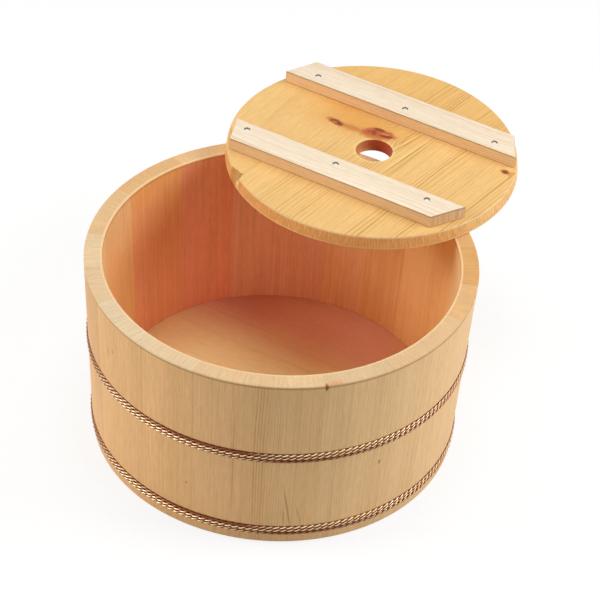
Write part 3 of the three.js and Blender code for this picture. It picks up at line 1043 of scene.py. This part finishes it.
# The board's planks lie side by side in one log, at a slant, and its rings show less on the left
BOARD_SKEW = math.radians(8)
BOARD_PITH = mm(-75, -35)
BOARD_START = 3.0
BOARD_FIGURE_PLACES = mm(-60, 20)
BOARD_FIGURE_SHARES = (0.15, 1.0)
BOARD_TONE = (-0.01, 0.01)

# The finger hole's edge lies within this distance of the board's middle
HOLE_REACH = 20 * MM


def board_hole():
    """Centre and radius of the finger hole, from the edge points around it."""
    points = node_points("board_plank_2")
    near = np.abs(points - (BOARD_X, BOARD_Y, board_high.z)) < (HOLE_REACH, HOLE_REACH, SAME)
    inner = points[near.all(axis=1)]
    centre = (inner.min(axis=0) + inner.max(axis=0)) / 2
    return centre[0] - BOARD_X, centre[1] - BOARD_Y, (inner[:, 0].max() - inner[:, 0].min()) / 2


def board_plank(name, rng):
    low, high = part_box(name)
    loops = []
    levels = edge_levels(BOARD_THICKNESS, BOARD_EASE)
    half = len(levels) // 2
    rows = [(0.0, BOARD_THICKNESS * share) for share in CHIP_ROWS]
    rings = levels[:half] + rows + levels[half:]
    for inset, z in rings:
        seam = inset * SEAM_EASE / BOARD_EASE - SEAM_CLOSE
        sides = seams(low.x - BOARD_X, high.x - BOARD_X, BOARD_RADIUS, seam)
        radius = BOARD_WIDE_RADIUS + (BOARD_RADIUS - BOARD_WIDE_RADIUS) * z / BOARD_THICKNESS - inset
        outline = plank_loop(radius, *sides)
        if name == "board_plank_1":
            outline = chipped(outline, z / BOARD_THICKNESS)
        loops.append((outline, z))
    prism = Prism(loops)
    if name == "board_plank_2":
        x, y, radius = board_hole()
        opened = [(radius + inset * HOLE_EASE / BOARD_EASE, z) for inset, z in rings]
        prism.through([(circle_loop(x, y, reach, HOLE_SIDES), z) for reach, z in opened])
    piece = prism.build(name + "_wood")
    piece.data.transform(Matrix.Translation((BOARD_X, BOARD_Y, BOARD_UNDERSIDE)))
    zone_by_facing(piece)
    points = positions(piece)
    u = points[:, 0] - BOARD_X
    v = points[:, 1] - BOARD_Y
    across = u * math.cos(BOARD_SKEW) - v * math.sin(BOARD_SKEW)
    along = u * math.sin(BOARD_SKEW) + v * math.cos(BOARD_SKEW)
    grain = in_log(across, points[:, 2] - BOARD_UNDERSIDE, along, *BOARD_PITH, BOARD_START)
    figure = np.interp(across, BOARD_FIGURE_PLACES, BOARD_FIGURE_SHARES)
    set_grain(piece, grain, rng.uniform(*BOARD_TONE), figure=figure)
    finish_piece(piece, "drain_board", name, (board_face, board_edge))


BOTTOM_BEVEL = 1.5 * MM
BOTTOM_PITH_ACROSS = mm(-30, 30)
BOTTOM_PITH_DEPTH = -60 * MM


def bottom_plank(name, rng):
    low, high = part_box(name)
    sides = seams(low.y - TUB_Y, high.y - TUB_Y, BOTTOM_RADIUS)
    sections = (
        (BOTTOM_RADIUS - BOTTOM_BEVEL, FLOOR_UNDERSIDE),
        (BOTTOM_RADIUS, FLOOR_UNDERSIDE + BOTTOM_BEVEL),
        (BOTTOM_RADIUS, WEDGE_TOP),
        (FLOOR_RADIUS, FLOOR_TOP),
    )
    prism = Prism([(plank_loop(radius, *sides), z) for radius, z in sections])
    piece = prism.build(name + "_wood")
    piece.data.transform(Matrix.Translation((TUB_X, TUB_Y, 0)) @ Matrix.Rotation(math.pi / 2, 4, "Z"))
    along, across, depth = positions(piece).T
    pith = rng.uniform(*BOTTOM_PITH_ACROSS)
    start = rng.uniform(*LOG_START)
    grain = in_log(across - TUB_Y, depth, along, pith, BOTTOM_PITH_DEPTH, start)
    set_grain(piece, grain, rng.uniform(*OWN_TONE))
    finish_piece(piece, "tub", name, (bottom_face,))


# Battens and nails

BATTEN_TONE = {"far_batten": -0.035, "near_batten": 0.0}
BATTEN_OWN_TONE = (-0.02, 0.02)
BATTEN_PITH_ACROSS = mm(-20, 50)
BATTEN_PITH_DEPTH = -50 * MM

# Nails, and the dishes that they are sunk into
NAIL_HEAD = 0.9 * MM
NAIL_SHANK = 0.48
NAIL_TIP = 3 * MM
NAIL_POINT = 0.02 * MM
HEAD_STEPS = 4
DISH_DEPTH = 1.2 * MM
DISH_FLOOR = 0.2 * MM
DISH_WALL = 0.25 * MM
DISH_MOUTH = 0.28 * MM


def nail_place(name):
    low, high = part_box(name)
    return Vector((*middle_of(low, high), high.z)), (high.x - low.x) / 2


def batten_outline(name):
    """Corners of the batten seen from above, anticlockwise, from the widest points of its solid."""
    points = node_points(name)
    low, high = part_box(name)
    corners = []
    for y, order in ((low.y, 1), (high.y, -1)):
        edge = points[np.abs(points[:, 1] - y) < SAME]
        corners.extend([(edge[:, 0].min(), y), (edge[:, 0].max(), y)][::order])
    return np.array(corners)


def inset_outline(outline, inset):
    """Outline of straight sides, anticlockwise, moved in by inset on every side."""
    sides = unit(np.roll(outline, -1, axis=0) - outline)
    inward = np.stack([-sides[:, 1], sides[:, 0]], axis=1)
    both = inward + np.roll(inward, 1, axis=0)
    return outline + both * inset / (both * inward).sum(axis=1, keepdims=True)


def batten(name, rng):
    low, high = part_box(name)
    outline = batten_outline(name)
    levels = edge_levels(high.z - low.z, BATTEN_EASE)
    prism = Prism([(inset_outline(outline, inset), low.z + z) for inset, z in levels])
    nails = [nail_place(nail) for nail in names_like(name + "_nail_")]
    for place, radius in nails:
        rings = ((DISH_FLOOR, place.z - DISH_DEPTH), (DISH_WALL, high.z - DISH_WALL), (DISH_MOUTH, high.z))
        prism.dish([(circle_loop(place.x, place.y, radius + gap, NAIL_SIDES), z) for gap, z in rings])
    piece = prism.build(name + "_wood")
    zone_by_facing(piece, END_FACE)
    for face in piece.data.polygons:
        if any((face.center - place).xy.length < radius + DISH_MOUTH for place, radius in nails):
            face.material_index = NAIL_FACE
    along, across, depth = positions(piece).T
    pith = rng.uniform(*BATTEN_PITH_ACROSS)
    start = rng.uniform(*LOG_START)
    grain = in_log(across - low.y, depth - low.z, along, pith, BATTEN_PITH_DEPTH, start)
    set_grain(piece, grain, BATTEN_TONE[name] + rng.uniform(*BATTEN_OWN_TONE))
    woods = (batten_face, batten_side, batten_end, bruise_and_shade_wood)
    finish_piece(piece, "drain_board", name, woods)


def nail(name):
    place, radius = nail_place(name)
    low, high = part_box(name)
    shank = radius * NAIL_SHANK
    brim = high.z - NAIL_HEAD
    profile = [(NAIL_POINT, low.z), (shank, low.z + NAIL_TIP), (shank, brim), (radius, brim)]
    for turn in quarter_turn(HEAD_STEPS):
        rise = NAIL_HEAD / 2 * (1 + math.sin(turn))
        profile.append((max(radius * math.cos(turn), NAIL_POINT), brim + rise))
    vertices = []
    for reach, z in profile:
        vertices.extend((x, y, z) for x, y in circle_loop(place.x, place.y, reach, NAIL_SIDES))
    faces = ring_faces(len(profile), NAIL_SIDES)
    faces.append(tuple(range(NAIL_SIDES))[::-1])
    faces.append(tuple(range(len(vertices) - NAIL_SIDES, len(vertices))))
    piece = new_object(name + "_smooth", vertices, faces)
    finish_piece(piece, "drain_board", name, (nail_steel,))


# Hoops: each ring is two wires twisted together

# Painted shade on a hoop's three rings, from the top, by the angle about the tub in degrees, where the
# lamps miss their strands
SHADE_ANGLES = (-180, -132, -110, -90, -68, -58, -40, -20, 0, 180)
RING_SHADE = {
    "1": (0.8, 0.8, 0.5, 1.0, 1.0, 0.1, 0.0, 0.1, 0.6, 0.8),
    "2": (0.7, 0.7, 0.05, 0.0, 0.1, 0.3, 0.2, 0.15, 0.6, 0.7),
    "3": (0.8, 0.8, 0.2, 0.2, 0.5, 0.95, 0.85, 0.5, 0.8, 0.8),
}

# Shift of each ring's strands, as a share of their spacing, and how far up their painted highlight is
# turned
RING_SHIFT = {"1": 0.0, "2": 0.1, "3": -0.05}
HIGHLIGHT_LIFT = math.radians(25)


def hoop_ring(name):
    low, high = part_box(name)
    rope = (high.z - low.z) / 2
    reach = about_tub(node_points(name))[0].max() - rope
    z = (low.z + high.z) / 2
    wire = rope / 2
    twists = round(TAU * reach / TWIST_PITCH)
    steps = twists * WIRE_STEPS
    theta = np.linspace(0, TAU, steps, endpoint=False)
    around = np.linspace(0, TAU, WIRE_SIDES, endpoint=False)[None, :, None]
    vertices = []
    faces = []
    crests = []
    for strand in (0, 1):
        twist = twists * theta + math.pi * (strand - RING_SHIFT[name[-1]])
        out = wire * np.cos(twist)
        up = wire * np.sin(twist)
        along = unit(np.stack([reach + 0 * theta, -twists * up, twists * out], axis=1))
        side = unit(np.cross(along, (0.0, 0.0, 1.0)))
        rise = np.cross(side, along)
        offset = wire * (np.cos(around) * side[:, None, :] + np.sin(around) * rise[:, None, :])
        turn = theta[:, None] + offset[:, :, 0] / reach
        far = reach + out[:, None] + offset[:, :, 1]
        tall = z + up[:, None] + offset[:, :, 2]
        # A strand's painted highlight goes where it faces up and out, towards the lamps
        highlight = (far - reach) * math.cos(HIGHLIGHT_LIFT) + (tall - z) * math.sin(HIGHLIGHT_LIFT)
        crests.append((highlight / rope).ravel())
        faces.extend(ring_faces(steps, WIRE_SIDES, closed_along=True, base=len(vertices)))
        vertices.extend(np.stack(at_tub(far, turn, tall), axis=-1).reshape(-1, 3))
    piece = new_object(name + "_twist", vertices, faces)
    set_share(piece, "crest", np.concatenate(crests))
    degrees = np.degrees(about_tub(positions(piece))[1])
    set_share(piece, "crest_shade", np.interp(degrees, SHADE_ANGLES, RING_SHADE[name[-1]]))
    finish_piece(piece, "tub", name, (copper_wire,), evened=False)


rng = np.random.default_rng(SEED)
WOODEN = ((stave, STAVES), (bottom_plank, BOTTOM_PLANKS), (board_plank, BOARD_PLANKS), (batten, BATTENS))
for build, names in WOODEN:
    for name in names:
        build(name, rng)
for name in NAILS:
    nail(name)
for name in UPPER_RINGS + LOWER_RINGS:
    hoop_ring(name)
for name in PEGS:
    frame["nodes"][name].data.materials.clear()
    frame["nodes"][name].data.materials.append(peg_bamboo)

# Floor, world and lamps

FLOOR_HALF = 12.0
FLOOR_CORNERS = ((-1, -1), (1, -1), (1, 1), (-1, 1))
FLOOR_BOUNCE = 0.8
FLOOR_OWN = 0.25
FLOOR_GLOW = 0.79
WORLD_LIGHT = 0.22

# Name, azimuth and elevation in degrees, distance and size in metres, and power of each lamp
LAMPS = (
    ("overhead", 90, 88, 1.7, 0.7, 7.7),
    ("right", 27, 38, 1.6, 0.8, 13.1),
    ("left", 212, 27, 1.6, 0.8, 12.8),
)


def grey(level):
    return (level, level, level, 1.0)


def floor():
    corners = [(x * FLOOR_HALF, y * FLOOR_HALF, 0) for x, y in FLOOR_CORNERS]
    piece = new_object("floor", corners, [(0, 1, 2, 3)])
    shader = Shader("floor_white")
    shader.tree.nodes.remove(shader.tree.nodes["Principled BSDF"])
    bounce = shader.add("ShaderNodeBsdfDiffuse", {"Color": grey(FLOOR_BOUNCE)}).outputs[0]
    shaded = shader.add("ShaderNodeBsdfDiffuse", {"Color": grey(FLOOR_OWN)}).outputs[0]
    glow = shader.add("ShaderNodeEmission", {"Strength": FLOOR_GLOW}).outputs[0]
    both = shader.add("ShaderNodeAddShader", {0: shaded, 1: glow}).outputs[0]
    choice = shader.add("ShaderNodeMixShader", {0: shader.seen_directly(), 1: bounce, 2: both})
    shader.feed(shader.tree.nodes["Material Output"].inputs["Surface"], choice.outputs[0])
    piece.data.materials.append(shader.owner)


def world():
    sky = Shader("studio", bpy.data.worlds)
    bpy.context.scene.world = sky.owner
    inputs = {"Value": sky.seen_directly(), "To Min": WORLD_LIGHT, "To Max": 1.0}
    level = sky.add("ShaderNodeMapRange", inputs)
    background = sky.tree.nodes["Background"]
    sky.feed(background.inputs["Color"], grey(1.0))
    sky.feed(background.inputs["Strength"], level.outputs["Result"])


def softbox(name, azimuth, elevation, distance, size, power):
    """A square lamp that faces the tub, from an azimuth and an elevation."""
    data = bpy.data.lights.new(name, "AREA")
    data.shape = "SQUARE"
    data.size = size
    data.energy = power
    lamp = place_object(name, data)
    turn = math.radians(azimuth)
    lift = math.radians(elevation)
    target = Vector((TUB_X, TUB_Y, TUB_HEIGHT / 2))
    away = Matrix.Rotation(turn, 3, "Z") @ Vector((math.cos(lift), 0, math.sin(lift)))
    lamp.location = target + away * distance
    lamp.rotation_euler = away.to_track_quat("Z", "Y").to_euler()


floor()
world()
for lamp in LAMPS:
    softbox(*lamp)


def camera():
    data = bpy.data.cameras.new("camera")
    data.sensor_width = SENSOR_WIDTH_MM
    data.lens = LENS_MM
    piece = place_object("camera", data)
    heading = Matrix.Rotation(-CAMERA_YAW, 4, "Z")
    tilt = Matrix.Rotation(math.pi / 2 - CAMERA_PITCH, 4, "X")
    roll = Matrix.Rotation(-CAMERA_ROLL, 4, "Z")
    place = Vector((TUB_X, TUB_Y, 0)) + CAMERA_PLACE
    piece.matrix_world = Matrix.Translation(place) @ heading @ tilt @ roll
    bpy.context.scene.camera = piece


camera()
bpy.context.scene.view_settings.view_transform = "Standard"
